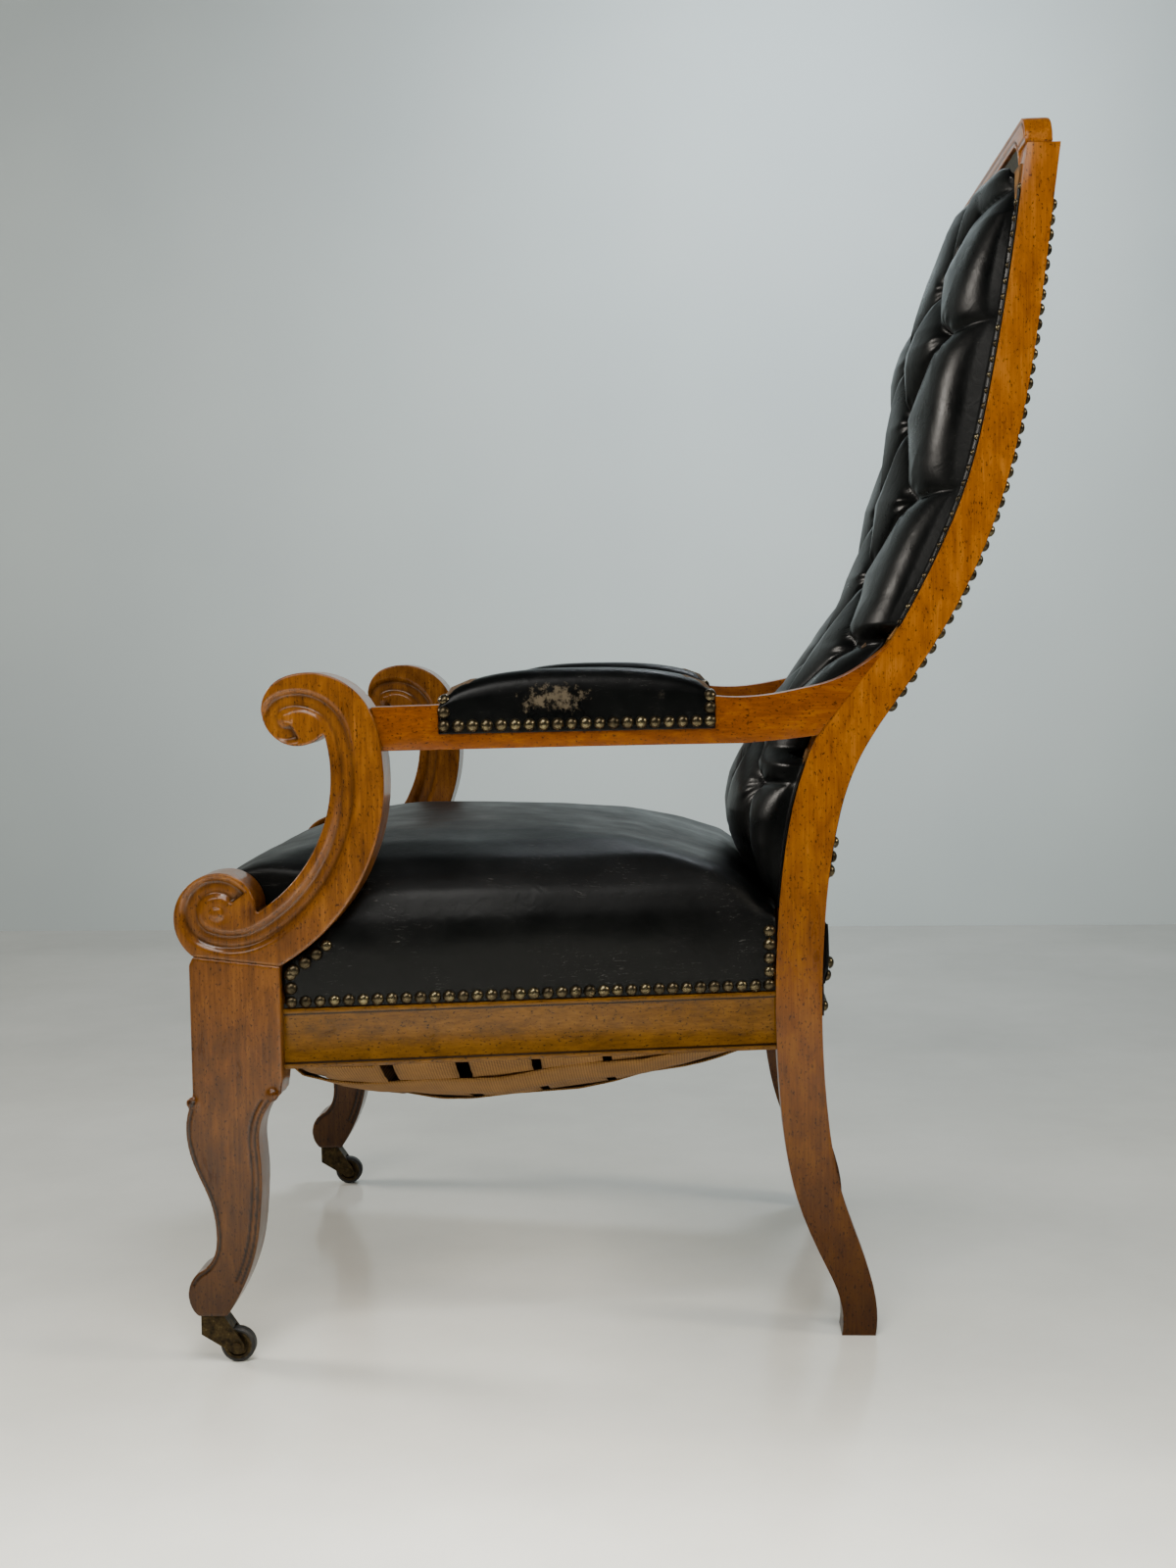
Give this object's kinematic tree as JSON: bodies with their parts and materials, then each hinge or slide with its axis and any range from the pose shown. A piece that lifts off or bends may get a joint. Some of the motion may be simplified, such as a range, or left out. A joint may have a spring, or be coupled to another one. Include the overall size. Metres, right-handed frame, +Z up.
{
  "type": "tufted armchair",
  "caption": "High-backed open armchair with carved C-scroll arms, cabriole front legs on casters and a deep-buttoned leather back.",
  "frame": {"origin": "on the floor under the middle of the overall box", "axes": "+Z up, -Y towards the front of the chair, +X towards the sitter's left"},
  "size_m": [0.621, 0.806, 1.1305],
  "materials": {
    "show_wood": "clear varnish over figured beech, warm brown",
    "plain_wood": "bare sawn beech",
    "leather": "worn semi-gloss black hide",
    "stuffing": "matted hair",
    "hessian": "loose plain weave",
    "webbing": "coarse twill jute, soiled",
    "spring_steel": "dull drawn wire",
    "screw_steel": "dull",
    "caster_metal": "dark patina",
    "caster_brass": "worn patina",
    "caster_tyre": "dull dark ring"
  },
  "bodies": {
    "chair": {"arm_scroll_left": "show_wood", "arm_scroll_right": "show_wood", "front_leg_left": "show_wood", "front_leg_right": "show_wood", "back_post_left": "show_wood", "back_post_right": "show_wood", "arm_rail_left": "show_wood", "arm_rail_right": "show_wood", "side_rail_left": "show_wood", "side_rail_right": "show_wood", "arm_pad_left": "leather", "arm_pad_right": "leather", "arm_pad_stuffing_left": "stuffing", "arm_pad_stuffing_right": "stuffing", "caster_plate_left": "caster_metal", "caster_plate_right": "caster_metal", "caster_screws_left": "screw_steel", "caster_screws_right": "screw_steel", "front_rail": "plain_wood", "rear_rail": "plain_wood", "back_bottom_rail": "plain_wood", "crest_rail": "show_wood", "corner_blocks": "plain_wood", "rail_dowels": "plain_wood", "arm_dowels": "plain_wood", "crest_dowels": "plain_wood", "seat_webbing": "webbing", "seat_springs": "spring_steel", "seat_hessian": "hessian", "seat_stuffing": "stuffing", "seat_cover": "leather", "back_canvas": "hessian", "back_stuffing": "stuffing", "back_cover": "leather", "back_buttons": "leather", "outside_back": "leather"},
    "caster_horn_left": {"caster_horn_left": "caster_metal", "caster_axle_left": "caster_metal"},
    "caster_wheel_left": {"caster_wheel_left": "caster_brass", "caster_tyre_left": "caster_tyre"},
    "caster_horn_right": {"caster_horn_right": "caster_metal", "caster_axle_right": "caster_metal"},
    "caster_wheel_right": {"caster_wheel_right": "caster_brass", "caster_tyre_right": "caster_tyre"}
  },
  "joints": [
    {"name": "caster_swivel_left", "type": "hinge", "parent": "chair", "child": "caster_horn_left", "pos_m": [0.29, -0.38, 0.038], "axis": [0, 0, 1], "continuous": true},
    {"name": "wheel_spin_left", "type": "hinge", "parent": "caster_horn_left", "child": "caster_wheel_left", "pos_m": [0.29, -0.358, 0.016], "axis": [1, 0, 0], "continuous": true},
    {"name": "caster_swivel_right", "type": "hinge", "parent": "chair", "child": "caster_horn_right", "pos_m": [-0.29, -0.38, 0.038], "axis": [0, 0, 1], "continuous": true},
    {"name": "wheel_spin_right", "type": "hinge", "parent": "caster_horn_right", "child": "caster_wheel_right", "pos_m": [-0.29, -0.358, 0.016], "axis": [1, 0, 0], "continuous": true}
  ]
}
